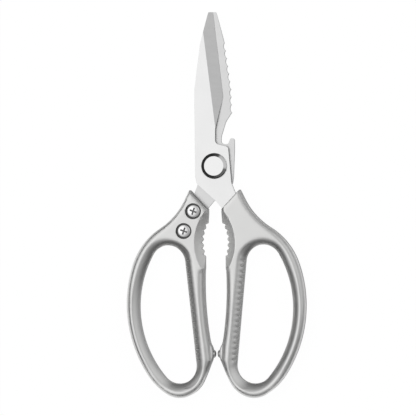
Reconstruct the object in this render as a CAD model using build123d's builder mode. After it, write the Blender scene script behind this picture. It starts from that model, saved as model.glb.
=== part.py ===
from build123d import *
import os
from math import atan2, cos, sin

os.makedirs("parts", exist_ok=True)

# The shears lie on their back, tips towards +Y, with the pivot on X = 0.
# The right half is laid out from the pivot on the plane where the blades meet.
# The left half is the same layout turned half round about the length.
HANDLE_HALF = 5.5
PIVOT_AHEAD = 23.55
right_half = Plane(origin=(0, PIVOT_AHEAD, HANDLE_HALF))
left_half = Plane(origin=(0, PIVOT_AHEAD, HANDLE_HALF), x_dir=(-1, 0, 0), z_dir=(0, 0, -1))

# Blades: 2.6 mm stock with a 0.1 mm running gap between them
BLADE_THICKNESS = 2.6
BLADE_INNER = 0.05
BLADE_OUTER = BLADE_INNER + BLADE_THICKNESS
GRIND_START = (-0.3, 33.4)
GRIND_END = (-5.8, 80.5)
GRIND_SLOPE = 0.336
TANG_SCREWS = [(12.7, -26.9), (18.55, -38.7)]

# Corners of the tang that sits in the handle, each with its radius
TANG = [((12.8, -17.0), 3.0), ((23.2, -39.5), 2.5), ((15.6, -43.8), 2.5), ((5.0, -26.0), 4.0)]

# Corner points and corner radii from the tip, down the cutting edge and round the tang
CUTTING_SIDE = [
    ((0.0, 92.1), 0.3),
    ((5.5, 41.3), 0.9),
    ((0.8, 22.0), 12.0),
    ((0.7, 13.4), 2.6),
    ((8.5, 11.4), 2.2),
    ((10.2, -10.2), 2.0),
    *TANG,
    ((1.1, -21.4), 4.0),
    ((-10.6, -10.6), 1.2),
]
FRONT_SPINE = [
    ((-11.6, -6.5), 4.0),
    ((-11.5, 45.5), 30.0),
    ((-7.7, 73.0), 25.0),
    ((-2.7, 92.1), 0.8),
]
# The back blade's spine has a bottle-opener notch with a hooked tab behind it
BACK_SPINE = [
    ((-11.2, -6.5), 4.0),
    ((-12.0, 9.5), 10.0),
    ((-12.0, 16.5), 1.5),
    ((-9.6, 16.5), 1.2),
    ((-8.2, 13.0), 1.6),
    ((-3.9, 13.3), 1.8),
    ((-4.1, 17.6), 6.0),
    ((-6.9, 26.4), 8.0),
    ((-10.6, 31.9), 0.2),
    ((-10.3, 45.5), 30.0),
    ((-6.7, 73.0), 25.0),
    ((-2.0, 92.1), 0.8),
]
# Fish-scaler teeth: scallops between the start and end of each straight stretch
SCALER_ROWS = [((-10.5, 31.9), (-10.25, 45.9), 3), ((-10.25, 45.9), (-6.6, 73.7), 6)]
SCALLOP_DEPTH = 0.9
SCALLOP_RADIUS = 3.4

# Handle castings
MOUTH_HORN = (15.2, -14.2)
OUTER_BEVEL = 1.5
MOUTH_FOOT = (4.4, -25.7)
MOUTH_BEVEL = 1.2
MOUTH_EASING = 0.3
SLOT_CLEARANCE = 0.1
JAW_CENTRE = (-18.2, -46.0)
JAW_RADIUS = 25.6
JAW_HALF = 1.4
JAW_TOOTH_DEPTH = 1.2
JAW_PITCH = 7.8
JAW_TEETH = 6
JAW_START = -14.9
RELIEF_RADIUS = 30.5
STOP_Y = -113.0
STOP_TIP = 0.45
STOP_RADIUS = 1.6
STOP_HALF = 1.1

# Finger hole: straight along the grip, round on the other side
GRIP_AT_PIVOT = 23.95
GRIP_LEAN = 0.1
# Its rim widens away from the middle of the casting. Each level has its height, how far the
# grip edge moves out, the reach of the round side, the grip's ends and the two corner radii
HOLE_LEVELS = [
    (2.4, 0.0, 46.4, -32.6, -143.4, 10.6, 10.8),
    (4.7, 3.0, 49.3, -33.9, -142.6, 11.8, 12.4),
    (HANDLE_HALF, 5.5, 51.6, -34.6, -142.8, 13.4, 14.2),
]
# Grip ribs: short vee grooves down the steep part of the rim beside the grip
GROOVE_COUNT = 19
GROOVE_PITCH = 3.3
GROOVE_MIDDLE = -86.5
GROOVE_LENGTH = 2.8
GROOVE_DEPTH = 0.45

# Pivot
SHANK_RADIUS = 4.0
KEY_FLAT = 3.2
STEM_RADIUS = 3.0
HEAD_RADIUS = 7.7
HEAD_HEIGHT = 2.2
HEAD_BEVEL = 1.9
HEAD_BEVEL_DROP = 1.3
SHOULDER_END = -BLADE_OUTER - 0.1
WASHER_RADIUS = 6.8
WASHER_THICKNESS = 0.7
NUT_ACROSS_FLATS = 10.0
NUT_HEIGHT = 1.8

# M4 pan head screws
SCREW_RADIUS = 2.0
SCREW_HEAD_RADIUS = 4.0
SCREW_HEAD_HEIGHT = 2.3
COUNTERBORE_RADIUS = 4.8
COUNTERBORE_DEPTH = 2.8
THREAD_END = 4.5


def blade(half, spine):
    """Return one blade with its tang, its outer face ground down to the cutting edge."""
    corners = CUTTING_SIDE + spine
    lean = atan2(GRIND_START[0] - GRIND_END[0], GRIND_END[1] - GRIND_START[1])
    across = half.x_dir * cos(lean) + half.y_dir * sin(lean)
    along = half.y_dir * cos(lean) - half.x_dir * sin(lean)
    ridge_start = half.from_local_coords(Vector(GRIND_START[0], GRIND_START[1], BLADE_OUTER))
    with BuildPart() as blank:
        with BuildSketch(half.offset(BLADE_INNER)):
            with BuildLine():
                FilletPolyline([point for point, _ in corners], radius=[r for _, r in corners], close=True)
            make_face()
            with Locations(TANG_SCREWS):
                Circle(SCREW_RADIUS + 0.15, mode=Mode.SUBTRACT)
        extrude(amount=BLADE_THICKNESS)
        # The ground face falls from a ridge line towards the cutting edge
        with BuildSketch(Plane(origin=ridge_start - along * 16.5, x_dir=across, z_dir=along)):
            with BuildLine():
                Polyline((0, 0), (12, 12 * GRIND_SLOPE), (12, -1), (0, -1), close=True)
            make_face()
        extrude(amount=80, mode=Mode.SUBTRACT)
    return blank.part


def hole_outline(half, level, side):
    """Return the finger hole's outline at one level of its rim, above or below the middle."""
    height, out, reach, head, foot, head_radius, foot_radius = level
    with BuildSketch(half.offset(side * height)) as outline:
        with BuildLine():
            grip = Line(
                (GRIP_AT_PIVOT + GRIP_LEAN * head - out, head),
                (GRIP_AT_PIVOT + GRIP_LEAN * foot - out, foot),
            )
            ThreePointArc(grip @ 1, (reach, -84.0), grip @ 0)
        make_face()
        fillet(outline.vertices().sort_by(Axis.Y)[-1], head_radius)
        fillet(outline.vertices().sort_by(Axis.Y)[0], foot_radius)
    return outline.sketch


def finger_hole(half):
    """Return the finger hole as a solid: straight in the middle, wider towards both faces."""
    throat = HOLE_LEVELS[0]
    with BuildPart() as hole:
        extrude(hole_outline(half, throat, -1), amount=2 * throat[0])
        for side in (1, -1):
            for lower, upper in zip(HOLE_LEVELS, HOLE_LEVELS[1:]):
                loft([hole_outline(half, lower, side), hole_outline(half, upper, side)], ruled=True)
    return hole.part


def grip_grooves(half):
    """Return the vee prisms that cut the grip ribs, for both faces."""
    grip = (half.y_dir + half.x_dir * GRIP_LEAN).normalized()
    away = (half.y_dir * GRIP_LEAN - half.x_dir).normalized()
    (low, *_), (high, widening, *_) = HOLE_LEVELS[:2]
    middle = Vector(GRIP_AT_PIVOT + GRIP_LEAN * GROOVE_MIDDLE, GROOVE_MIDDLE, 0)
    with BuildPart() as grooves:
        for side in (1, -1):
            slope = (away * widening + half.z_dir * side * (high - low)).normalized()
            foot = half.from_local_coords(middle) + half.z_dir * side * low + slope * 0.3
            with BuildSketch(Plane(foot, x_dir=grip * side, z_dir=slope)):
                with GridLocations(GROOVE_PITCH, 0, GROOVE_COUNT, 1):
                    Polygon((-0.6, -0.1), (0.6, -0.1), (0, GROOVE_DEPTH), align=None)
            extrude(amount=GROOVE_LENGTH)
    return grooves.part


def casting(half):
    """Return one handle: bevelled loop, toothed jaw, slot for the tang, screw holes and stop nose."""
    mouth_lean = atan2(MOUTH_HORN[1] - MOUTH_FOOT[1], MOUTH_HORN[0] - MOUTH_FOOT[0])
    mouth = Plane(
        half.from_local_coords(Vector(*MOUTH_HORN)),
        x_dir=half.x_dir * sin(mouth_lean) - half.y_dir * cos(mouth_lean),
        z_dir=-half.x_dir * cos(mouth_lean) - half.y_dir * sin(mouth_lean),
    )
    jaw_origin = half.from_local_coords(Vector(*JAW_CENTRE))
    with BuildPart() as handle:
        with BuildSketch(half.offset(-HANDLE_HALF)):
            with BuildLine():
                horn = Line((13.2, -10.5), (18.0, -20.2))
                throat = TangentArc(horn @ 1, (33.2, -37.1), tangent=horn % 1)
                shoulder = TangentArc(throat @ 1, (50.0, -58.5), tangent=throat % 1)
                arm = TangentArc(shoulder @ 1, (41.2, -125.7), tangent=shoulder % 1)
                turn = TangentArc(arm @ 1, (29.7, -136.8), tangent=arm % 1)
                toe = TangentArc(turn @ 1, (17.4, -137.9), tangent=turn % 1)
                rise = TangentArc(toe @ 1, (8.0, -129.2), tangent=toe % 1)
                heel = TangentArc(rise @ 1, (2.8, -116.5), tangent=rise % 1)
                column = ThreePointArc((3.5, -108.0), (6.5, -80.6), (6.0, -54.4))
                jaw = ThreePointArc((6.4, -53.0), (7.4, -46.0), (5.2, -35.3))
                Line(heel @ 1, column @ 0)
                Line(column @ 1, jaw @ 0)
                Polyline(jaw @ 1, (4.2, -34.0), (4.2, -20.0), horn @ 0)
            make_face()
        extrude(amount=2 * HANDLE_HALF)
        outer_rims = [face.outer_wire() for face in handle.faces().filter_by(Axis.Z)]
        chamfer([edge for rim in outer_rims for edge in rim.edges()], OUTER_BEVEL)
        add(finger_hole(half), mode=Mode.SUBTRACT)
        add(grip_grooves(half), mode=Mode.SUBTRACT)
        # The jaw is relieved to a narrow band on both faces by a cone, then toothed
        with BuildSketch(Plane(jaw_origin, x_dir=half.x_dir, z_dir=-half.y_dir)) as relief:
            with BuildLine():
                Polyline(
                    (JAW_RADIUS - 8, JAW_HALF),
                    (JAW_RADIUS, JAW_HALF),
                    (RELIEF_RADIUS, HANDLE_HALF),
                    (RELIEF_RADIUS, HANDLE_HALF + 1),
                    (JAW_RADIUS - 8, HANDLE_HALF + 1),
                    close=True,
                )
            make_face()
            mirror(about=Plane.XZ)
        revolve(axis=Axis(jaw_origin, half.z_dir), mode=Mode.SUBTRACT)
        with BuildSketch(half.offset(-HANDLE_HALF)):
            with Locations(JAW_CENTRE):
                with PolarLocations(JAW_RADIUS, JAW_TEETH, JAW_START, JAW_PITCH * JAW_TEETH):
                    Polygon((-1, -2.4), (JAW_TOOTH_DEPTH, 0), (-1, 2.4), align=None)
        extrude(amount=2 * HANDLE_HALF, mode=Mode.SUBTRACT)
        # Stop nose: a low web on the grip with a stud that meets the other one
        with BuildSketch(half.offset(-STOP_HALF)):
            with BuildLine():
                FilletPolyline(
                    (3.6, -105.0), (1.0, -111.3), (1.0, -114.7), (2.6, -117.6), (6.5, -118.0), (6.5, -106.0),
                    radius=0.5,
                    close=True,
                )
            make_face()
        extrude(amount=2 * STOP_HALF)
        with BuildSketch(half):
            with BuildLine():
                Polyline(
                    (STOP_TIP, STOP_Y),
                    (STOP_TIP, STOP_Y + STOP_RADIUS),
                    (4.0, STOP_Y + STOP_RADIUS),
                    (4.0, STOP_Y),
                    close=True,
                )
            make_face()
        revolve(axis=Axis(half.from_local_coords(Vector(0, STOP_Y, 0)), half.x_dir))
        # The slanted mouth, bevelled most on the side that the screws come from
        with BuildSketch(mouth.offset(-8)):
            with BuildLine():
                Polyline(
                    (-14, -HANDLE_HALF - 1),
                    (MOUTH_BEVEL + 1, -HANDLE_HALF - 1),
                    (0, MOUTH_BEVEL - HANDLE_HALF),
                    (0, HANDLE_HALF - MOUTH_EASING),
                    (MOUTH_EASING + 1, HANDLE_HALF + 1),
                    (-14, HANDLE_HALF + 1),
                    close=True,
                )
            make_face()
        extrude(amount=32, mode=Mode.SUBTRACT)
        # Slot for the tang and stepped holes for its screws
        with BuildSketch(half.offset(BLADE_INNER)):
            with BuildLine():
                slot = [((10.0, -7.0), 1.0), *TANG, ((0.0, -20.1), 1.0)]
                FilletPolyline([point for point, _ in slot], radius=[r for _, r in slot], close=True)
            make_face()
            offset(amount=SLOT_CLEARANCE)
        extrude(amount=BLADE_THICKNESS, mode=Mode.SUBTRACT)
        with BuildSketch(half.offset(-HANDLE_HALF)):
            with Locations(TANG_SCREWS):
                Circle(COUNTERBORE_RADIUS)
        extrude(amount=COUNTERBORE_DEPTH, mode=Mode.SUBTRACT)
        with BuildSketch(half.offset(-HANDLE_HALF)):
            with Locations(TANG_SCREWS):
                Circle(SCREW_RADIUS + 0.15)
        extrude(amount=HANDLE_HALF + BLADE_INNER, mode=Mode.SUBTRACT)
        with BuildSketch(half.offset(BLADE_OUTER)):
            with Locations(TANG_SCREWS):
                Circle(SCREW_RADIUS + 0.05)
        extrude(amount=THREAD_END + 0.2 - BLADE_OUTER, mode=Mode.SUBTRACT)
    return handle.part


def pan_screw(half, place):
    """Return one pan head screw with a cross recess, driven towards the half's own face."""
    x, y = place
    seat = COUNTERBORE_DEPTH - HANDLE_HALF
    drive = Plane(half.from_local_coords(Vector(x, y, 0)), x_dir=half.x_dir, z_dir=-half.y_dir)
    crown = seat - SCREW_HEAD_HEIGHT
    with BuildPart() as screw:
        with BuildSketch(drive):
            with BuildLine():
                Polyline(
                    (0, crown),
                    (0, THREAD_END),
                    (SCREW_RADIUS, THREAD_END),
                    (SCREW_RADIUS, seat),
                    (SCREW_HEAD_RADIUS, seat),
                    (SCREW_HEAD_RADIUS, crown),
                    close=True,
                )
            make_face()
        revolve(axis=Axis(drive.origin, half.z_dir))
        with BuildSketch(half.offset(crown)):
            with Locations(place):
                Rectangle(4.4, 1.0, rotation=20)
                Rectangle(1.0, 4.4, rotation=20)
        extrude(amount=1.5, mode=Mode.SUBTRACT)
    return screw.part


with BuildPart() as front_blade:
    add(blade(right_half, FRONT_SPINE))
    with BuildSketch(right_half.offset(BLADE_INNER)):
        Circle(SHANK_RADIUS)
        Rectangle(2 * KEY_FLAT, 3 * SHANK_RADIUS, mode=Mode.INTERSECT)
    extrude(amount=BLADE_THICKNESS, mode=Mode.SUBTRACT)

with BuildPart() as back_blade:
    add(blade(left_half, BACK_SPINE))
    with BuildSketch(left_half.offset(BLADE_INNER)):
        Circle(SHANK_RADIUS + 0.05)
        for start, end, count in SCALER_ROWS:
            row = Vector(*end) - Vector(*start)
            step = row / count
            outward = Vector(-row.Y, row.X).normalized() * (SCALLOP_RADIUS - SCALLOP_DEPTH)
            with Locations([Vector(*start) + step * (i + 0.5) + outward for i in range(count)]):
                Circle(SCALLOP_RADIUS)
    extrude(amount=BLADE_THICKNESS, mode=Mode.SUBTRACT)

with BuildPart() as right_handle:
    add(casting(right_half))

with BuildPart() as left_handle:
    add(casting(left_half))

with BuildPart() as pivot_bolt:
    with BuildSketch(right_half.offset(BLADE_OUTER)):
        Circle(HEAD_RADIUS)
    extrude(amount=HEAD_HEIGHT)
    chamfer(pivot_bolt.edges().sort_by(Axis.Z)[-1], HEAD_BEVEL_DROP, HEAD_BEVEL)
    with BuildSketch(right_half.offset(BLADE_OUTER)):
        Circle(SHANK_RADIUS)
        Rectangle(2 * KEY_FLAT, 3 * SHANK_RADIUS, mode=Mode.INTERSECT)
    extrude(amount=-BLADE_THICKNESS)
    with BuildSketch(right_half.offset(BLADE_INNER)):
        Circle(SHANK_RADIUS)
    extrude(amount=SHOULDER_END - BLADE_INNER)
    with BuildSketch(right_half.offset(SHOULDER_END)):
        Circle(STEM_RADIUS)
    extrude(amount=-WASHER_THICKNESS - NUT_HEIGHT)

with BuildPart() as pivot_washer:
    with BuildSketch(right_half.offset(SHOULDER_END)):
        Circle(WASHER_RADIUS)
        Circle(STEM_RADIUS + 0.1, mode=Mode.SUBTRACT)
    extrude(amount=-WASHER_THICKNESS)

with BuildPart() as pivot_nut:
    with BuildSketch(right_half.offset(SHOULDER_END - WASHER_THICKNESS)):
        RegularPolygon(NUT_ACROSS_FLATS / 2, 6, major_radius=False)
        Circle(STEM_RADIUS + 0.05, mode=Mode.SUBTRACT)
    extrude(amount=-NUT_HEIGHT)

with BuildPart() as right_upper_screw:
    add(pan_screw(right_half, TANG_SCREWS[0]))

with BuildPart() as right_lower_screw:
    add(pan_screw(right_half, TANG_SCREWS[1]))

with BuildPart() as left_upper_screw:
    add(pan_screw(left_half, TANG_SCREWS[0]))

with BuildPart() as left_lower_screw:
    add(pan_screw(left_half, TANG_SCREWS[1]))

front_blade.part.label = "front_blade"
export_step(front_blade.part, "parts/front_blade.step")
back_blade.part.label = "back_blade"
export_step(back_blade.part, "parts/back_blade.step")
right_handle.part.label = "right_handle"
export_step(right_handle.part, "parts/right_handle.step")
left_handle.part.label = "left_handle"
export_step(left_handle.part, "parts/left_handle.step")
pivot_bolt.part.label = "pivot_bolt"
export_step(pivot_bolt.part, "parts/pivot_bolt.step")
pivot_washer.part.label = "pivot_washer"
export_step(pivot_washer.part, "parts/pivot_washer.step")
pivot_nut.part.label = "pivot_nut"
export_step(pivot_nut.part, "parts/pivot_nut.step")
right_upper_screw.part.label = "right_upper_screw"
export_step(right_upper_screw.part, "parts/right_upper_screw.step")
right_lower_screw.part.label = "right_lower_screw"
export_step(right_lower_screw.part, "parts/right_lower_screw.step")
left_upper_screw.part.label = "left_upper_screw"
export_step(left_upper_screw.part, "parts/left_upper_screw.step")
left_lower_screw.part.label = "left_lower_screw"
export_step(left_lower_screw.part, "parts/left_lower_screw.step")
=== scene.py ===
"""Kitchen shears with cast loop handles: the finishes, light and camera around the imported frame.

All sizes are in metres unless a name ends in _mm. The frame gives every place: nothing here moves
a solid of the frame, and each new piece rides on one of its two bodies.
"""

from __future__ import annotations

import logging
import math
from dataclasses import astuple, dataclass, field
from enum import Enum
from typing import Callable

import bmesh
import bpy
from mathutils import Matrix, Vector
from mathutils.kdtree import KDTree

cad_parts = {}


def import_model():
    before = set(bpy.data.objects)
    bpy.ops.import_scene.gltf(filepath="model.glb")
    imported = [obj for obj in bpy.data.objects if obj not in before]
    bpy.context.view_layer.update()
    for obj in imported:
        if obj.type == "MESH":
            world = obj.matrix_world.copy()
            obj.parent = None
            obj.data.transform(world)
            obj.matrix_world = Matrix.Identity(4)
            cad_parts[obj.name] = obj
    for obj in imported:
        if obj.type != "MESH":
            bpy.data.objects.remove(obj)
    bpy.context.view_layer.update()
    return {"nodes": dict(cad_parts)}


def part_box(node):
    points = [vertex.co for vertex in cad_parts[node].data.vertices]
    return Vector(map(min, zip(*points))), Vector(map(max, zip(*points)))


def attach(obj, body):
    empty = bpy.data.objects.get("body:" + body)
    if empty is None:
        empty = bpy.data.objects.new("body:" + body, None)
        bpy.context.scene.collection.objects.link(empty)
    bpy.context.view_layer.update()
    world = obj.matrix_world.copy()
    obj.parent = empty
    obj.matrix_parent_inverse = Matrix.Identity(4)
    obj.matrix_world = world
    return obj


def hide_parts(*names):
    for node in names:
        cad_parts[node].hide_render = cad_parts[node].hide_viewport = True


LOG = logging.getLogger("shears")
MM = 0.001
# Gaps of a few hairs are too small to be seen
HAIR = 0.01 * MM
# Points nearer than this are one
MERGE = 2e-6
# Faces that lean less than this from their neighbour are joined to it
JOINED_DEG = 0.4


class Half(Enum):
    """The two halves of the shears, each named by its body in the frame."""

    RIGHT = "right_half"
    LEFT = "left_half"


class Value:
    """A socket that carries a number, so that shader maths reads as a Python expression."""

    def __init__(self, graph: "Graph", socket: bpy.types.NodeSocket) -> None:
        """Wrap a socket.

        Args:
            graph: The node graph that the socket belongs to.
            socket: The output socket that carries the number.
        """
        self.graph = graph
        self.socket = socket

    def _math(self, operation: str, *values: "Value | float") -> "Value":
        """Return a Math node's result for the given operation and inputs."""
        return self.graph.math(operation, *values)

    def __add__(self, other: "Value | float") -> "Value":
        """Return self + other."""
        return self._math("ADD", self, other)

    def __radd__(self, other: float) -> "Value":
        """Return other + self."""
        return self._math("ADD", other, self)

    def __sub__(self, other: "Value | float") -> "Value":
        """Return self - other."""
        return self._math("SUBTRACT", self, other)

    def __rsub__(self, other: float) -> "Value":
        """Return other - self."""
        return self._math("SUBTRACT", other, self)

    def __mul__(self, other: "Value | float") -> "Value":
        """Return self * other."""
        return self._math("MULTIPLY", self, other)

    def __rmul__(self, other: float) -> "Value":
        """Return other * self."""
        return self._math("MULTIPLY", other, self)

    def clamped(self) -> "Value":
        """Return the value held between 0 and 1."""
        return self._math("MINIMUM", self._math("MAXIMUM", self, 0.0), 1.0)


class Graph:
    """A node tree with one way to add a node."""

    def __init__(self, tree: bpy.types.NodeTree) -> None:
        """Empty a node tree and take it over.

        Args:
            tree: The tree of a material or a world.
        """
        self.tree = tree
        self.tree.nodes.clear()

    def node(self, kind: str, settings: dict | None = None, **sockets: object) -> bpy.types.Node:
        """Add a node, set its options and then its sockets.

        Args:
            kind: The node's type name.
            settings: Properties that are set before any socket, and a ramp's stops under "stops".
            sockets: Values or links by socket name, with spaces written as underscores, or by
                position as s0, s1 and so on.

        Returns:
            The new node.
        """
        made = self.tree.nodes.new(kind)
        for name, setting in (settings or {}).items():
            if name == "stops":
                ramp = made.color_ramp
                while len(ramp.elements) < len(setting):
                    ramp.elements.new(0.5)
                for element, (place, colour) in zip(ramp.elements, setting):
                    element.position = place
                    element.color = colour
            else:
                setattr(made, name, setting)
        for name, given in sockets.items():
            if name[0] == "s" and name[1:].isdigit():
                socket = made.inputs[int(name[1:])]
            else:
                socket = made.inputs[name.replace("_", " ")]
            if isinstance(given, Value):
                self.tree.links.new(given.socket, socket)
            elif isinstance(given, bpy.types.NodeSocket):
                self.tree.links.new(given, socket)
            else:
                socket.default_value = given
        return made

    def math(self, operation: str, *values: Value | float) -> Value:
        """Return the result of a Math node.

        Args:
            operation: The Math node's operation.
            values: Its inputs in order.
        """
        inputs = {f"s{i}": value for i, value in enumerate(values)}
        return Value(self, self.node("ShaderNodeMath", {"operation": operation}, **inputs).outputs[0])

    def place(self, scale: tuple[float, float, float], turn_deg: float = 0.0) -> bpy.types.NodeSocket:
        """Return Object coordinates, scaled and turned about Z.

        Args:
            scale: The scale along each axis.
            turn_deg: The turn in degrees.

        Returns:
            The socket of the coordinates.
        """
        coords = self.node("ShaderNodeTexCoord")
        turn = (0.0, 0.0, math.radians(turn_deg))
        return self.node(
            "ShaderNodeMapping", Vector=coords.outputs["Object"], Scale=scale, Rotation=turn
        ).outputs[0]

    def noise(self, place: bpy.types.NodeSocket, scale: float, detail: float, rough: float = 0.5) -> Value:
        """Return a noise value from 0 to 1 at the given place."""
        made = self.node("ShaderNodeTexNoise", Vector=place, Scale=scale, Detail=detail, Roughness=rough)
        return Value(self, made.outputs[0])

    def grey(self, level: Value) -> bpy.types.NodeSocket:
        """Return a grey colour of the given level."""
        return self.node("ShaderNodeCombineColor", Red=level, Green=level, Blue=level).outputs[0]

    def bump(self, height: Value, distance: float, strength: float) -> bpy.types.NodeSocket:
        """Return a normal bumped by a height.

        Args:
            height: The height, from 0 to 1.
            distance: How far the full height stands out.
            strength: How much of the bump shows, from 0 to 1.

        Returns:
            The normal's socket.
        """
        return self.node(
            "ShaderNodeBump", Height=height, Distance=distance, Strength=strength
        ).outputs[0]


@dataclass(frozen=True)
class Metal:
    """A metal finish: its grey level and roughness, and how much its grain and clouds move both.

    Bands are wide brush marks along the grain, and the edge tint dims what is seen at a glance.
    """

    name: str
    level: float
    roughness: float
    mottle: float = 0.03
    grain_scale: float = 2500.0
    grain_stretch: tuple[float, float, float] = (1.0, 1.0, 1.0)
    grain_turn_deg: float = 0.0
    grain_depth: float = 0.00001
    grain_strength: float = 0.2
    band_depth: float = 0.0
    band_scale: float = 420.0
    cloud_scale: float = 90.0
    dull_cloud: float = 0.08
    dull_grain: float = 0.06
    warmth: float = 0.0
    edge_tint: float = 1.0

    def material(self) -> bpy.types.Material:
        """Return the finish as a material."""
        made = bpy.data.materials.new(self.name)
        made.use_nodes = True
        graph = Graph(made.node_tree)
        along_grain = graph.place(self.grain_stretch, self.grain_turn_deg)
        grain = graph.noise(along_grain, self.grain_scale, 3.0)
        bands = graph.noise(along_grain, self.band_scale, 3.0)
        cloud = graph.noise(graph.place((1.0, 1.0, 1.0)), self.cloud_scale, 4.0)
        shade = self.level + (cloud - 0.5) * self.mottle + (grain - 0.5) * self.mottle
        shade = shade + (bands - 0.5) * self.band_depth
        dull = self.roughness + (cloud - 0.5) * self.dull_cloud + (grain - 0.5) * self.dull_grain
        colour = graph.node(
            "ShaderNodeCombineColor", Red=shade, Green=shade, Blue=shade * (1.0 - self.warmth)
        )
        skin = graph.node(
            "ShaderNodeBsdfPrincipled",
            Base_Color=colour.outputs[0],
            Metallic=1.0,
            Roughness=dull.clamped(),
            Specular_Tint=(self.edge_tint, self.edge_tint, self.edge_tint, 1.0),
            Normal=graph.bump(grain, self.grain_depth, self.grain_strength),
        )
        graph.node("ShaderNodeOutputMaterial", Surface=skin.outputs[0])
        return made


class Finish(Enum):
    """The finishes of the shears, each with the slot of the record that it dresses."""

    CAST = (
        "cast_handle",
        Metal("cast_satin_alloy", 0.77, 0.36, grain_scale=3200.0, grain_strength=0.35, warmth=0.008),
    )
    # Painted shade: a darker, duller grey for the upright sides, standing in for the shade that falls on
    # them
    CAST_SIDE = (
        "cast_handle",
        Metal(
            "cast_side",
            0.50,
            0.50,
            grain_scale=3200.0,
            grain_strength=0.35,
            warmth=0.008,
            edge_tint=0.45,
        ),
    )
    # Painted shade: a near-black grey for the screws' sunk seats, standing in for the shade inside them
    CAST_RECESS = (
        "cast_handle",
        Metal("cast_recess", 0.26, 0.50, grain_scale=3200.0, grain_strength=0.35, edge_tint=0.4),
    )
    # Painted light: a lighter grey for the jaw's relief, standing in for the light that falls on it
    CAST_JAW = (
        "cast_handle",
        Metal("cast_jaw", 0.92, 0.50, grain_scale=3200.0, grain_strength=0.35, warmth=0.008),
    )
    FLAT = (
        "blade_steel",
        Metal(
            "flat_blade_steel",
            0.84,
            0.30,
            mottle=0.02,
            grain_stretch=(1.0, 0.05, 1.0),
            grain_strength=0.12,
        ),
    )
    GROUND = (
        "blade_steel",
        Metal(
            "ground_blade_steel",
            0.80,
            0.34,
            mottle=0.05,
            grain_stretch=(0.04, 1.0, 1.0),
            grain_turn_deg=-6.0,
            grain_strength=0.3,
            band_depth=0.09,
        ),
    )
    # Painted shade: the inner faces take a darker grey than the flat ones, for the shade on the back
    # blade's face under the front blade; the brush grain and bands are the steel's own
    MATING = (
        "blade_steel",
        Metal(
            "mating_blade_steel",
            0.71,
            0.32,
            mottle=0.04,
            grain_stretch=(0.04, 1.0, 1.0),
            grain_turn_deg=8.0,
            grain_strength=0.3,
            band_depth=0.06,
        ),
    )
    # Painted shade: a darker, duller grey for the blades' steep sides, standing in for the lines of shade
    # along their edges
    BLADE_SIDE = ("blade_steel", Metal("blade_side", 0.50, 0.42, edge_tint=0.4))
    MIRROR = ("polished_pivot", Metal("mirror_pivot", 0.76, 0.07, mottle=0.01, grain_strength=0.03))
    HARDWARE = ("pivot_hardware", Metal("plain_hardware", 0.66, 0.34))
    # Painted shade: a near-black grey in the cross recess, standing in for the shade inside it
    SCREW_RECESS = ("screw_steel", Metal("screw_recess", 0.22, 0.40, edge_tint=0.4))
    SCREW = ("screw_steel", Metal("bright_screw", 0.88, 0.14, mottle=0.02, grain_strength=0.05))

    @property
    def slot(self) -> str:
        """Return the record's slot."""
        return self.value[0]

    @property
    def material(self) -> bpy.types.Material:
        """Return the material, made at its first use."""
        metal = self.value[1]
        return bpy.data.materials.get(metal.name) or metal.material()


def stand(shape: bmesh.types.BMesh, name: str, body: str, finishes: list[Finish]) -> bpy.types.Object:
    """Turn a finished bmesh into a piece that rides on a body.

    Args:
        shape: The piece's mesh in the row frame. It is freed here.
        name: The piece's name.
        body: The body that it rides on.
        finishes: Its finishes, in the order of its material indices.

    Returns:
        The new object.
    """
    mesh = bpy.data.meshes.new(name)
    shape.to_mesh(mesh)
    shape.free()
    for finish in finishes:
        mesh.materials.append(finish.material)
    piece = bpy.data.objects.new(name, mesh)
    bpy.context.scene.collection.objects.link(piece)
    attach(piece, body)
    return piece


def copied(node: bpy.types.Object) -> bmesh.types.BMesh:
    """Return a merged copy of a node's mesh, its flat faces joined.

    Args:
        node: A solid of the frame, which is left as it is.

    Returns:
        The copy, as a new bmesh.
    """
    shape = bmesh.new()
    shape.from_mesh(node.data)
    bmesh.ops.remove_doubles(shape, verts=shape.verts, dist=MERGE)
    level = math.radians(JOINED_DEG)
    bmesh.ops.dissolve_limit(shape, angle_limit=level, verts=shape.verts, edges=shape.edges)
    return shape


def shade(shape: bmesh.types.BMesh, sharpest_deg: float) -> None:
    """Shade a mesh smooth, but for edges bent by more than an angle.

    Args:
        shape: The mesh.
        sharpest_deg: The angle in degrees.
    """
    shape.normal_update()
    for face in shape.faces:
        face.smooth = True
    for edge in shape.edges:
        edge.smooth = len(edge.link_faces) == 2 and edge.calc_face_angle() < math.radians(sharpest_deg)


def soften(piece: bpy.types.Object, width: float, steepest_deg: float) -> None:
    """Round a piece's sharp edges with a live bevel and shade the rest smooth.

    Args:
        piece: The piece, with flat faces.
        width: The bevel's width.
        steepest_deg: Edges bent by more than this are bevelled.
    """
    for face in piece.data.polygons:
        face.use_smooth = True
    bevel = piece.modifiers.new("edge_wear", "BEVEL")
    bevel.width = width
    bevel.segments = 2
    bevel.limit_method = "ANGLE"
    bevel.angle_limit = math.radians(steepest_deg)
    weigh = piece.modifiers.new("flat_faces", "WEIGHTED_NORMAL")
    weigh.weight = 100


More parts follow.
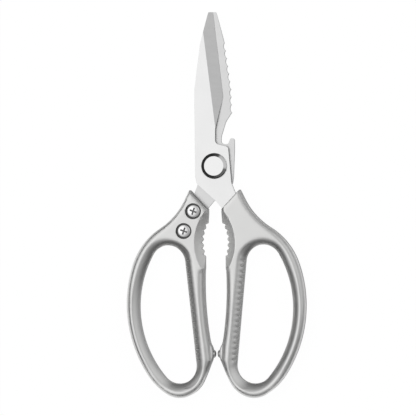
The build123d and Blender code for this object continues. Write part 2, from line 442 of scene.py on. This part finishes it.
@dataclass
class Blades:
    """The two blades: flat faces, and a ground face that falls to each cutting edge."""

    edge_width: float = 0.12 * MM
    ground_lean_deg: tuple[float, float] = (10.0, 45.0)
    side_lean_deg: float = 70.0
    mating_level: float = 0.98
    worn_from_deg: float = 12.0

    def build(self, nodes: dict[str, bpy.types.Object]) -> list[bpy.types.Object]:
        """Dress both blades.

        Args:
            nodes: The frame's nodes by name.

        Returns:
            The two pieces.
        """
        made = []
        for name, body, inner in (("front_blade", "right_half", -1.0), ("back_blade", "left_half", 1.0)):
            shape = copied(nodes[name])
            finishes = [Finish.FLAT, Finish.GROUND, Finish.MATING, Finish.BLADE_SIDE]
            for face in shape.faces:
                face.material_index = finishes.index(self.finish_of(face, inner))
            piece = stand(shape, f"{name}_steel", body, finishes)
            soften(piece, self.edge_width, self.worn_from_deg)
            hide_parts(name)
            made.append(piece)
        return made

    def finish_of(self, face: bmesh.types.BMFace, inner: float) -> Finish:
        """Return the finish of a blade's face.

        Args:
            face: The face.
            inner: 1 where the blade's inner face looks up and -1 where it looks down.

        Returns:
            The finish, by how the face leans; the steep sides and the inner face take darker greys,
            painted shade.
        """
        lean = math.degrees(math.acos(min(1.0, abs(face.normal.z))))
        # The inner face takes the darker mating finish: painted shade
        if face.normal.z * inner > self.mating_level:
            return Finish.MATING
        if self.ground_lean_deg[0] < lean < self.ground_lean_deg[1]:
            return Finish.GROUND
        # Steep sides take the darker side finish: painted shade
        return Finish.BLADE_SIDE if lean > self.side_lean_deg else Finish.FLAT


@dataclass(frozen=True)
class Section:
    """The rounds of a handle at one place along it: into the finger hole and over the outer edge."""

    rim_width: float
    rim_foot: float
    edge_drop: float
    edge_reach: float
    edge_power: float

    def towards(self, other: Section, share: float) -> Section:
        """Return the section that lies a share of the way to another one."""
        mine, theirs = astuple(self), astuple(other)
        return Section(*(a + (b - a) * share for a, b in zip(mine, theirs)))

    def outer_fall(self, inward: float) -> float:
        """Return how far the face has fallen at a distance inward from the outline."""
        left = max(0.0, 1.0 - inward / self.edge_reach)
        return self.edge_drop * left**self.edge_power


@dataclass
class StopNose:
    """The bulge on a grip with the round button that meets the other half's one.

    Places in millimetres are across and along from the pivot. The casting is drawn back under the
    outline's free side.
    """

    half: Half
    pivot_y: float = 23.55 * MM
    middle_z: float = 5.5 * MM
    outline_mm: tuple[tuple[float, float], ...] = (
        (5.0, -103.2),
        (3.55, -106.3),
        (2.5, -108.4),
        (2.0, -110.2),
        (1.85, -112.4),
        (2.0, -114.5),
        (2.4, -116.1),
        (3.2, -118.0),
        (4.0, -119.8),
        (5.6, -122.3),
        (8.5, -121.0),
        (8.5, -104.5),
    )
    free_side: tuple[int, int] = (1, 8)
    cover: float = 0.5
    half_thickness: float = 3.3 * MM
    edge: float = 0.9 * MM
    # Faces whose normal's Z stays under this take the side finish, a painted shade
    painted_shade_below: float = 0.62
    smooth_deg: float = 40.0
    button_mm: tuple[float, float] = (1.75, -112.5)
    button_size: tuple[float, float] = (1.35 * MM, 2.4 * MM)

    def cover_at(self, along: float) -> float:
        """Return how far from the middle plane a solid lies just inside the bulge.

        Args:
            along: The place's Y.

        Returns:
            The distance, or -1 above and below the bulge's free side.
        """
        place = (along - self.pivot_y) / MM
        points = self.outline_mm[self.free_side[0] : self.free_side[1]]
        first, last = points[0][1], points[-1][1]
        for (x0, y0), (x1, y1) in zip(points, points[1:]):
            if y1 <= place <= y0:
                inside = self.cover * math.sin(math.pi * (first - place) / (first - last))
                return (x0 + (x1 - x0) * (y0 - place) / (y0 - y1) + inside) * MM
        return -1.0

    def build(self) -> bpy.types.Object:
        """Build the bulge and its button and return the piece."""
        side = -1.0 if self.half is Half.LEFT else 1.0
        shape = bmesh.new()
        low = self.middle_z - self.half_thickness
        corners = [
            shape.verts.new((side * x * MM, y * MM + self.pivot_y, low)) for x, y in self.outline_mm
        ]
        floor = shape.faces.new(corners)
        grown = bmesh.ops.extrude_face_region(shape, geom=[floor])["geom"]
        top = [item for item in grown if isinstance(item, bmesh.types.BMVert)]
        bmesh.ops.translate(shape, verts=top, vec=(0.0, 0.0, 2 * self.half_thickness))
        bmesh.ops.recalc_face_normals(shape, faces=shape.faces)
        rims = [edge for edge in shape.edges if abs(edge.verts[0].co.z - edge.verts[1].co.z) < HAIR]
        bmesh.ops.bevel(
            shape,
            geom=rims,
            offset=self.edge,
            offset_type="OFFSET",
            affect="EDGES",
            segments=4,
            profile=0.5,
            material=-1,
            clamp_overlap=True,
        )
        across, along = self.button_mm
        place = Vector((side * across * MM, along * MM + self.pivot_y, self.middle_z))
        thick, wide = self.button_size
        spread = Matrix.Translation(place) @ Matrix.Diagonal((thick, wide, wide, 1.0))
        bmesh.ops.create_uvsphere(shape, u_segments=32, v_segments=24, radius=1.0, matrix=spread)
        shade(shape, self.smooth_deg)
        for face in shape.faces:
            # The steep faces take the side finish, which paints shade on them
            face.material_index = int(abs(face.normal.z) < self.painted_shade_below)
        finishes = [Finish.CAST, Finish.CAST_SIDE]
        return stand(shape, f"{self.half.value}_stop_nose", self.half.value, finishes)


@dataclass
class Handle:
    """One cast handle: its loop is worked from the frame's solid, rounded into the finger hole."""

    node: str
    half: Half
    nose: StopNose
    # The solid's rim: its height at the hole's wall and at its ridge, where the ridge is, its width
    wall: float = 2.4 * MM
    ridge: float = 4.7 * MM
    ridge_share: float = 0.545
    solid_width: float = 5.5 * MM
    # The rounds at three places, and the Y from which and to which one passes into the next
    neck: Section = Section(3.6 * MM, 3.3 * MM, 1.55 * MM, 1.9 * MM, 1.25)
    loop: Section = Section(5.8 * MM, 2.4 * MM, 2.5 * MM, 4.2 * MM, 2.3)
    toe: Section = Section(6.9 * MM, 2.4 * MM, 2.3 * MM, 3.3 * MM, 2.0)
    neck_span: tuple[float, float] = (-8.0 * MM, -31.0 * MM)
    toe_span: tuple[float, float] = (-92.0 * MM, -106.0 * MM)
    # The round's slopes, and the shares of its width at which it bends and is level
    round_slopes: tuple[float, float] = (1.0, 0.55)
    round_shares: tuple[float, float] = (0.5, 1.0)
    # The worn edges, and the solid's own bevel round the outline
    edge_width: float = 0.35 * MM
    worn_from_deg: float = 24.0
    outer_bevel: float = 1.5 * MM
    bevel_slack: float = 1.15
    ridge_drop: float = 1.0 * MM
    # Round each screw: how far the land's border keeps off, and the seat's radius, inside which sunk faces
    # take painted shade
    screw_clear: float = 5.4 * MM
    seat_radius: float = 4.9 * MM
    # The hole's long axis as shares of the height, and its grip: X at Y 0, and the growth of X with Y
    hole_shares: tuple[float, float] = (0.13, 0.60)
    grip_line: tuple[float, float] = (21.595 * MM, 0.1)
    grip_slack: float = 0.3 * MM
    grip_offset: float = 4.0 * MM
    # The circle that bounds the jaw's relief, inside which faces take a lighter grey as painted light
    jaw_centre: tuple[float, float] = (18.2 * MM, -22.45 * MM)
    jaw_edge: float = 30.5 * MM
    jaw_slack: float = 0.7 * MM
    # The ribs beside the grip, deepest at a share of their width
    rib_pitch: float = 3.3 * MM
    rib_count: int = 19
    rib_middle: float = -62.95 * MM
    rib_width: float = 4.6 * MM
    rib_depth: float = 0.20 * MM
    rib_peak: float = 0.55
    # The Z of a normal on the hole's wall, on an upright side, on a bevel and on the land
    wall_level: float = 0.02
    upright: float = 0.25
    bevel_levels: tuple[float, float] = (0.3, 0.99)
    land_level: float = 0.995
    # How finely the casting is cut and shaded
    levels: int = 16
    cell: float = 1.1 * MM
    step: float = 0.25 * MM
    smooth_deg: float = 32.0
    middle: Vector = field(init=False)
    depth: float = field(init=False)
    screws: list[Vector] = field(init=False)
    hole_ends: tuple[float, float] = field(init=False)
    jaw: Vector = field(init=False)
    from_hole: dict[bmesh.types.BMVert, float] = field(init=False)
    near_border: dict[bmesh.types.BMVert, tuple[float, float, bool]] = field(init=False)

    def build(self, nodes: dict[str, bpy.types.Object]) -> bpy.types.Object:
        """Build the handle in place of its node.

        Args:
            nodes: The frame's nodes by name.

        Returns:
            The handle's piece.
        """
        low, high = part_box(self.node)
        self.middle = (low + high) / 2
        self.depth = (high.z - low.z) / 2
        prefix = self.node.split("_")[0]
        boxes = [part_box(f"{prefix}_{place}_screw") for place in ("upper", "lower")]
        self.screws = [((lowest + highest) / 2).xy for lowest, highest in boxes]
        first, last = (low.y + share * (high.y - low.y) for share in self.hole_shares)
        self.hole_ends = (first, last)
        self.jaw = Vector((math.copysign(self.jaw_centre[0], -self.middle.x), self.jaw_centre[1]))
        shape = copied(nodes[self.node])
        self.wear_edges(shape)
        self.slice(shape, low, high)
        self.measure(shape)
        self.round_rim(shape)
        self.crown(shape)
        self.cut_ribs(shape)
        self.trim_stud(shape)
        shape.normal_update()
        finishes = [Finish.CAST, Finish.CAST_SIDE, Finish.CAST_RECESS, Finish.CAST_JAW]
        for face in shape.faces:
            face.material_index = finishes.index(self.finish_of(face))
        shade(shape, self.smooth_deg)
        piece = stand(shape, f"{self.node}_casting", self.half.value, finishes)
        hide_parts(self.node)
        return piece

    def finish_of(self, face: bmesh.types.BMFace) -> Finish:
        """Return the finish of a face of the casting.

        Args:
            face: The face, on the rounded casting.

        Returns:
            A finish of their own for the upright sides, the screws' seats and the jaw's relief.
        """
        place = face.calc_center_median()
        if any((place.xy - screw).length < self.seat_radius for screw in self.screws):
            # Faces sunk in a seat take the dark recess finish: painted shade
            sunk = abs(place.z - self.middle.z) < self.depth - 5 * HAIR
            return Finish.CAST_RECESS if sunk else Finish.CAST
        # Upright sides take a darker finish: painted shade
        if abs(face.normal.z) < self.upright:
            return Finish.CAST_SIDE
        # Faces inside the jaw's circle take a lighter finish: painted light
        return Finish.CAST_JAW if (place.xy - self.jaw).length < self.jaw_edge else Finish.CAST

    def cut_ribs(self, shape: bmesh.types.BMesh) -> None:
        """Wave the rim beside the grip, so that its ribs read as soft ridges.

        Args:
            shape: The casting, already rounded and measured.
        """
        reach = self.rib_pitch * self.rib_count / 2
        for vert in shape.verts:
            along = vert.co.y - self.rib_middle
            share = self.from_hole[vert] / self.rib_width
            height = abs(vert.co.z - self.middle.z)
            if not self.beside_grip(vert) or abs(along) > reach or share > 1.0:
                continue
            if height < self.wall + 5 * HAIR or share * self.rib_width < 2 * HAIR:
                continue
            wave = 0.5 + 0.5 * math.cos(2 * math.pi * along / self.rib_pitch)
            fade = max(0.0, 1.0 - abs(share - self.rib_peak) / (1.0 - self.rib_peak))
            drop = min(self.rib_depth * wave * fade, height - self.wall)
            vert.co.z -= math.copysign(drop, vert.co.z - self.middle.z)

    def trim_stud(self, shape: bmesh.types.BMesh) -> None:
        """Draw the solid's plain stud back under the stop's own bulge and button.

        Args:
            shape: The casting.
        """
        for vert in shape.verts:
            edge = self.nose.cover_at(vert.co.y)
            if abs(vert.co.x) < edge:
                vert.co.x = math.copysign(edge, self.middle.x)

    def beside_grip(self, vert: bmesh.types.BMVert) -> bool:
        """Return whether a point is on the grip's side of the finger hole."""
        return abs(vert.co.x) < abs(self.middle.x) - self.grip_offset

    def faces_hole(self, face: bmesh.types.BMFace) -> bool:
        """Return whether a face looks into the finger hole.

        Args:
            face: A face of the casting.

        Returns:
            Whether it leans and points towards the hole's long axis.
        """
        place = face.calc_center_median()
        axis_y = min(max(place.y, self.hole_ends[0]), self.hole_ends[1])
        towards = Vector((self.middle.x - place.x, axis_y - place.y))
        return abs(face.normal.z) < self.land_level and face.normal.xy.dot(towards) > 0.0

    def wear_edges(self, shape: bmesh.types.BMesh) -> None:
        """Round the casting's own edges, but not those of the finger hole.

        Args:
            shape: The casting, as copied from the solid.
        """
        shape.normal_update()
        sharp = [
            edge
            for edge in shape.edges
            if len(edge.link_faces) == 2
            and edge.calc_face_angle_signed() > math.radians(self.worn_from_deg)
            and not any(self.faces_hole(face) for face in edge.link_faces)
        ]
        bmesh.ops.bevel(
            shape,
            geom=sharp,
            offset=self.edge_width,
            offset_type="OFFSET",
            affect="EDGES",
            segments=2,
            profile=0.5,
            material=-1,
            clamp_overlap=True,
        )

    def slice(self, shape: bmesh.types.BMesh, low: Vector, high: Vector) -> None:
        """Cut the casting into level rings and a grid, so that it can be rounded.

        Args:
            shape: The casting.
            low: The lowest corner of its box.
            high: The highest corner of its box.
        """
        cuts = []
        for step in range(1, self.levels):
            share = step / self.levels
            height = self.rim_height(share)
            cuts += [(self.middle + Vector((0, 0, side * height)), Vector((0, 0, 1))) for side in (1, -1)]
        for axis in (0, 1):
            across = Vector((1, 0, 0)) if axis == 0 else Vector((0, 1, 0))
            count = int((high[axis] - low[axis]) / self.cell)
            cuts += [(low + across * (self.cell * (i + 0.5)), across) for i in range(count)]
        for place, across in cuts:
            geometry = shape.verts[:] + shape.edges[:] + shape.faces[:]
            bmesh.ops.bisect_plane(shape, geom=geometry, dist=MERGE, plane_co=place, plane_no=across)

    def rim_height(self, share: float) -> float:
        """Return the solid's height at a share of the way from the hole to the land.

        Args:
            share: The share of the way, from 0 to 1.

        Returns:
            The height above the middle of the casting.
        """
        if share < self.ridge_share:
            return self.wall + (self.ridge - self.wall) * share / self.ridge_share
        past = (share - self.ridge_share) / (1 - self.ridge_share)
        return self.ridge + (self.depth - self.ridge) * past

    def rim_share(self, height: float) -> float:
        """Return how far from the hole to the land the solid has the given height.

        Args:
            height: The height above the middle of the casting.

        Returns:
            The share of the way, from 0 to 1.
        """
        if height < self.ridge:
            return self.ridge_share * (height - self.wall) / (self.ridge - self.wall)
        past = (height - self.ridge) / (self.depth - self.ridge)
        return self.ridge_share + (1 - self.ridge_share) * past

    def rim_rise(self, share: float) -> float:
        """Return how much of its height the rim has won at a share of the way to the land.

        It leaves the hole steeply, eases a little and then turns over quickly on to the land.

        Args:
            share: The share of the way from the hole to the land.

        Returns:
            The share of the height, from 0 to 1.
        """
        first, last = self.round_slopes
        bend, level = self.round_shares
        whole = bend * (first + last) / 2 + last * (level - bend) / 2
        along = min(share, bend)
        rise = first * along - (first - last) * along**2 / (2 * bend)
        along = min(max(share - bend, 0.0), level - bend)
        rise += last * along - last * along**2 / (2 * (level - bend))
        return rise / whole

    def section(self, along: float) -> Section:
        """Return the rounds at a place along the handle, from its Y."""
        upper = self.neck.towards(self.loop, self.eased(along, *self.neck_span))
        return upper.towards(self.toe, self.eased(along, *self.toe_span))

    def eased(self, along: float, start: float, end: float) -> float:
        """Return the share of the way down from one Y to another, eased at both ends."""
        share = min(max((start - along) / (start - end), 0.0), 1.0)
        return share * share * (3.0 - 2.0 * share)

    def in_groove(self, height: float, gap: float) -> bool:
        """Return whether a point lies below the solid's own rim beside the grip."""
        share = gap / self.solid_width
        return height < self.rim_height(min(share, 1.0)) - 3 * HAIR

    def round_rim(self, shape: bmesh.types.BMesh) -> None:
        """Run the rim from the hole's wall to the land in one round.

        Args:
            shape: The casting, cut into rings and a grid.
        """
        for vert in shape.verts:
            height = abs(vert.co.z - self.middle.z)
            if height < self.wall - HAIR or height > self.depth + HAIR:
                continue
            gap = self.from_hole[vert]
            section = self.section(vert.co.y)
            if gap > max(section.rim_width, self.solid_width):
                continue
            if self.beside_grip(vert) and self.in_groove(height, gap):
                gap = self.solid_width * self.rim_share(height)
            foot = section.rim_foot
            lift = foot + (self.depth - foot) * self.rim_rise(min(gap / section.rim_width, 1.0))
            vert.co.z = self.middle.z + math.copysign(lift, vert.co.z - self.middle.z)

    def crown(self, shape: bmesh.types.BMesh) -> None:
        """Let the casting fall away in a round towards its outline, bevel and all.

        Args:
            shape: The casting, with its rim already rounded.
        """
        foot = self.depth - self.outer_bevel
        for vert, (height, gap, outside) in self.near_border.items():
            section = self.section(vert.co.y)
            if outside:
                lift = self.depth - section.outer_fall(max(height - foot, 0.0))
                if height < foot:
                    lift = self.wall + (lift - self.wall) * (height - self.wall) / (foot - self.wall)
            else:
                lift = abs(vert.co.z - self.middle.z) - section.outer_fall(self.outer_bevel + gap)
            vert.co.z = self.middle.z + math.copysign(lift, vert.co.z - self.middle.z)

    def measure(self, shape: bmesh.types.BMesh) -> None:
        """Note each point's distances from the hole and from the land's border on its side.

        Args:
            shape: The casting, cut into rings and a grid.
        """
        shape.normal_update()
        throat = self.tree(shape, self.is_throat)
        self.from_hole = {vert: self.flat_find(throat, vert.co)[1] for vert in shape.verts}
        self.near_border = {}
        for side in (1.0, -1.0):
            border = self.tree(shape, lambda edge: self.is_border(edge, side))
            for vert in shape.verts:
                height = (vert.co.z - self.middle.z) * side
                if height <= self.wall:
                    continue
                nearest, gap = self.flat_find(border, vert.co)
                if gap < self.loop.edge_reach:
                    outside = self.from_hole[vert] > self.flat_find(throat, nearest)[1] + HAIR
                    near = gap < self.outer_bevel * self.bevel_slack
                    outside = outside and height < self.depth - 2 * HAIR and near
                    self.near_border[vert] = (height, gap, outside)

    def flat_find(self, tree: KDTree, place: Vector) -> tuple[Vector, float]:
        """Return the tree's point nearest to a place seen from above, and how far off it is."""
        nearest, _, gap = tree.find(Vector((place.x, place.y, self.middle.z)))
        return nearest, gap

    def is_throat(self, edge: bmesh.types.BMEdge) -> bool:
        """Return whether an edge runs round the hole where its wall meets the rim.

        Args:
            edge: An edge of the casting.

        Returns:
            Whether it does, leaving out the edges by the teeth.
        """
        for vert in edge.verts:
            grip = self.grip_line[0] + self.grip_line[1] * vert.co.y
            level = abs(abs(vert.co.z - self.middle.z) - self.wall) < 2 * HAIR
            if not level or abs(vert.co.x) < grip - self.grip_slack:
                return False
        walls = [face for face in edge.link_faces if abs(face.normal.z) < self.wall_level]
        return any(self.faces_hole(face) for face in walls)

    def is_border(self, edge: bmesh.types.BMEdge, side: float) -> bool:
        """Return whether an edge bounds the land on a side, where the outer bevel starts.

        Where no land is left, the ridge between the rim and the outer bevel bounds it.

        Args:
            edge: An edge between two faces.
            side: 1 for the upper land and -1 for the lower one.

        Returns:
            Whether the outer round starts from the edge.
        """
        flat = [face.normal.z * side > self.land_level for face in edge.link_faces]
        least, most = self.bevel_levels
        leans = [least < face.normal.z * side < most for face in edge.link_faces]
        place = edge.verts[0].co
        drop = self.depth - (place.z - self.middle.z) * side
        if not any(flat) and drop < self.ridge_drop:
            inward = [face for face in edge.link_faces if self.faces_hole(face)]
            return len(inward) == 1 and all(leans)
        if flat[0] == flat[1] or drop > 2 * HAIR:
            return False
        if any((place.xy - screw).length < self.screw_clear for screw in self.screws):
            return False
        if abs((place.xy - self.jaw).length - self.jaw_edge) < self.jaw_slack:
            return False
        steep = 0 if flat[1] else 1
        return leans[steep] and not self.faces_hole(edge.link_faces[steep])

    def tree(self, shape: bmesh.types.BMesh, chosen: Callable[[bmesh.types.BMEdge], bool]) -> KDTree:
        """Gather the points along the chosen edges, moved to the middle's height.

        Args:
            shape: The casting.
            chosen: The test of an edge.

        Returns:
            The points, ready to be searched.
        """
        points = []
        for edge in shape.edges:
            if len(edge.link_faces) == 2 and chosen(edge):
                start, end = (vert.co for vert in edge.verts)
                count = max(1, int((end - start).length / self.step))
                points += [start.lerp(end, step / count) for step in range(count + 1)]
        made = KDTree(len(points))
        for index, point in enumerate(points):
            made.insert((point.x, point.y, self.middle.z), index)
        made.balance()
        return made


@dataclass
class Pivot:
    """The pivot bolt's polished head, with the plain washer and nut on the back."""

    edge: float = 0.15 * MM
    worn_from_deg: float = 24.0

    def build(self, nodes: dict[str, bpy.types.Object]) -> list[bpy.types.Object]:
        """Dress the pivot's nodes.

        Args:
            nodes: The frame's nodes by name.

        Returns:
            The three pieces.
        """
        made = []
        for name, finish in (
            ("pivot_bolt", Finish.MIRROR),
            ("pivot_washer", Finish.HARDWARE),
            ("pivot_nut", Finish.HARDWARE),
        ):
            piece = stand(copied(nodes[name]), f"{name}_turned", "right_half", [finish])
            soften(piece, self.edge, self.worn_from_deg)
            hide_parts(name)
            made.append(piece)
        return made


@dataclass
class PanScrew:
    """A pan head screw with a cross recess, driven into a handle from its own face."""

    node: str
    half: Half
    height: float = 2.3 * MM
    rim_height: float = 1.55 * MM
    roundness: float = 0.92
    recess_share: float = 0.6
    smooth_deg: float = 28.0
    cell: float = 0.25 * MM

    def build(self, nodes: dict[str, bpy.types.Object]) -> bpy.types.Object:
        """Build the screw in place of its node.

        Args:
            nodes: The frame's nodes by name.

        Returns:
            The screw's piece.
        """
        low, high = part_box(self.node)
        centre = (low + high) / 2
        side = 1.0 if self.half is Half.LEFT else -1.0
        crown = high.z if side > 0 else low.z
        radius = (high.x - low.x) / 2
        shape = copied(nodes[self.node])
        for axis in (0, 1):
            across = Vector((1, 0, 0)) if axis == 0 else Vector((0, 1, 0))
            for step in range(int(2 * radius / self.cell)):
                top = [face for face in shape.faces if face.normal.z * side > 0.99]
                top = [face for face in top if abs(face.calc_center_median().z - crown) < HAIR]
                edges = {edge for face in top for edge in face.edges}
                verts = {vert for face in top for vert in face.verts}
                place = low + across * self.cell * (step + 0.5)
                bmesh.ops.bisect_plane(
                    shape, geom=[*verts, *edges, *top], dist=MERGE, plane_co=place, plane_no=across
                )
        for vert in shape.verts:
            if abs(vert.co.z - crown) < HAIR:
                share = min(1.0, (vert.co.xy - centre.xy).length / radius)
                vert.co.z -= side * self.dome(share)
        shape.normal_update()
        for face in shape.faces:
            place = face.calc_center_median()
            off_axis = (place.xy - centre.xy).length
            below = (crown - place.z) * side - self.dome(min(1.0, off_axis / radius))
            # Faces sunk in the cross recess take the dark finish: painted shade
            if below > 8 * HAIR and off_axis < self.recess_share * radius:
                face.material_index = 1
        shade(shape, self.smooth_deg)
        piece = stand(shape, f"{self.node}_pan", self.half.value, [Finish.SCREW, Finish.SCREW_RECESS])
        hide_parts(self.node)
        return piece

    def dome(self, share: float) -> float:
        """Return how far the head has fallen at a share of its radius."""
        fall = 1.0 - math.sqrt(1.0 - self.roundness * share**2)
        return (self.height - self.rim_height) * fall / (1.0 - math.sqrt(1.0 - self.roundness))


@dataclass(frozen=True)
class SkyPatch:
    """A soft round patch of light in the sky.

    Its centre is a unit direction. It starts at the outer cosine and is full from the inner one.
    """

    centre: tuple[float, float, float]
    outer: float
    inner: float
    level: float

    def light(self, graph: Graph, towards: bpy.types.NodeSocket) -> Value:
        """Return the patch's light.

        Args:
            graph: The world's graph.
            towards: The direction looked at.

        Returns:
            The light, from 0 to the patch's level.
        """
        near = graph.node(
            "ShaderNodeVectorMath", {"operation": "DOT_PRODUCT"}, s0=towards, s1=self.centre
        )
        gap = Value(graph, near.outputs["Value"]) - self.outer
        return (gap * (1.0 / (self.inner - self.outer))).clamped() * self.level


@dataclass
class Studio:
    """The white floor, the sky of a light tent, one soft lamp and the camera.

    A sky grey's place is the height looked at, from 0 at the horizon to 1 overhead.
    """

    frame_mm: float = 249.31
    aim_mm: tuple[float, float, float] = (-4.41, -1.55, 5.5)
    lean_deg: float = 7.99
    tip_deg: float = 0.34
    roll_deg: float = -0.68
    distance_mm: float = 1525.0
    sensor_mm: float = 36.0
    reach: float = 1.5
    floor_grey: float = 0.9
    floor_glow: float = 1.06
    floor_share: float = 0.9
    sky_greys: tuple[tuple[float, float], ...] = (
        (0.0, 0.10),
        (0.12, 0.03),
        (0.34, 0.03),
        (0.5, 0.20),
        (0.7, 0.34),
        (1.0, 0.40),
    )
    window: SkyPatch = SkyPatch((0.82, 0.41, 0.40), 0.74, 0.86, 0.5)
    window_sill: float = 0.14
    window_fade: float = 7.0
    soft_box: SkyPatch = SkyPatch((-0.40, 0.10, 0.91), 0.72, 0.98, 0.62)
    lamp_place: tuple[float, float, float] = (-0.40, 0.10, 0.95)
    lamp_width: float = 0.9
    lamp_watts: float = 0.35

    def build(self) -> None:
        """Set up the view, the floor, the sky, the lamp and the camera."""
        bpy.context.scene.view_settings.view_transform = "Standard"
        self.floor()
        self.sky()
        self.lamp()
        self.camera()

    def floor(self) -> None:
        """Lay a floor that shows white and keeps a faint shadow."""
        shape = bmesh.new()
        bmesh.ops.create_grid(shape, x_segments=1, y_segments=1, size=self.reach)
        mesh = bpy.data.meshes.new("floor")
        shape.to_mesh(mesh)
        shape.free()
        floor = bpy.data.objects.new("floor", mesh)
        bpy.context.scene.collection.objects.link(floor)
        made = bpy.data.materials.new("white_floor")
        made.use_nodes = True
        graph = Graph(made.node_tree)
        path = graph.node("ShaderNodeLightPath")
        seen = graph.math(
            "MAXIMUM",
            graph.math("MAXIMUM", path.outputs["Is Camera Ray"], path.outputs["Is Glossy Ray"]),
            path.outputs["Is Transmission Ray"],
        )
        plain = graph.node("ShaderNodeBsdfDiffuse", Color=(*[self.floor_grey] * 3, 1.0))
        glow = graph.node("ShaderNodeEmission", Color=(1.0, 1.0, 1.0, 1.0), Strength=self.floor_glow)
        skin = graph.node(
            "ShaderNodeMixShader", s0=seen * self.floor_share, s1=plain.outputs[0], s2=glow.outputs[0]
        )
        graph.node("ShaderNodeOutputMaterial", Surface=skin.outputs[0])
        mesh.materials.append(made)

    def sky(self) -> None:
        """Make the light tent: bright overhead, dim at the horizon but for a window on the right."""
        world = bpy.data.worlds.new("light_tent")
        bpy.context.scene.world = world
        world.use_nodes = True
        graph = Graph(world.node_tree)
        coords = graph.node("ShaderNodeTexCoord")
        towards = graph.node("ShaderNodeSeparateXYZ", Vector=coords.outputs["Generated"])
        height = Value(graph, towards.outputs["Z"])
        stops = [(place, (grey, grey, grey, 1.0)) for place, grey in self.sky_greys]
        ramp = graph.node("ShaderNodeValToRGB", {"stops": stops}, s0=height)
        window = self.window.light(graph, coords.outputs["Generated"])
        window = window * ((height - self.window_sill) * self.window_fade).clamped()
        soft_box = self.soft_box.light(graph, coords.outputs["Generated"])
        path = graph.node("ShaderNodeLightPath")
        traced = graph.math("MAXIMUM", path.outputs["Is Glossy Ray"], path.outputs["Is Transmission Ray"])
        below = graph.math("LESS_THAN", height, 0.0)
        seen = graph.math("MAXIMUM", path.outputs["Is Camera Ray"], traced * below)
        level = Value(graph, ramp.outputs[0]) + window + soft_box
        shown = level * (1.0 - seen) + seen
        back = graph.node("ShaderNodeBackground", Color=graph.grey(shown), Strength=1.0)
        graph.node("ShaderNodeOutputWorld", Surface=back.outputs[0])

    def lamp(self) -> None:
        """Hang one soft lamp above and to the left."""
        light = bpy.data.lights.new("soft_lamp", "AREA")
        light.shape = "DISK"
        light.size = self.lamp_width
        light.energy = self.lamp_watts
        lamp = bpy.data.objects.new("soft_lamp", light)
        lamp.location = self.lamp_place
        lamp.rotation_euler = Vector(lamp.location).to_track_quat("Z", "Y").to_euler()
        bpy.context.scene.collection.objects.link(lamp)

    def camera(self) -> None:
        """Point the camera as the photograph was taken: from far off, leaning to the right."""
        data = bpy.data.cameras.new("camera")
        data.sensor_width = self.sensor_mm
        data.lens = self.sensor_mm * self.distance_mm / self.frame_mm
        data.clip_start = 0.01
        data.clip_end = 10.0
        back = Vector((math.tan(math.radians(self.lean_deg)), math.tan(math.radians(self.tip_deg)), 1.0))
        back.normalize()
        roll = Matrix.Rotation(math.radians(self.roll_deg), 3, back)
        across = roll @ Vector((0.0, 1.0, 0.0)).cross(back).normalized()
        axes = Matrix((across, back.cross(across), back)).transposed()
        camera = bpy.data.objects.new("camera", data)
        camera.location = (Vector(self.aim_mm) + back * self.distance_mm) * MM
        camera.rotation_euler = axes.to_euler()
        bpy.context.scene.collection.objects.link(camera)
        bpy.context.scene.camera = camera


def main() -> None:
    """Build the pieces in order, then the studio."""
    logging.basicConfig(level=logging.INFO, format="%(name)s %(message)s")
    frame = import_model()
    nodes = frame["nodes"]
    pieces = Blades().build(nodes)
    for name, half in (("right_handle", Half.RIGHT), ("left_handle", Half.LEFT)):
        nose = StopNose(half)
        pieces += [Handle(name, half, nose).build(nodes), nose.build()]
    pieces += Pivot().build(nodes)
    for half in (Half.RIGHT, Half.LEFT):
        side = half.value.split("_")[0]
        pieces += [PanScrew(f"{side}_{place}_screw", half).build(nodes) for place in ("upper", "lower")]
    for piece in pieces:
        LOG.info("%s: %d faces", piece.name, len(piece.data.polygons))
    Studio().build()


if __name__ == "__main__":
    main()
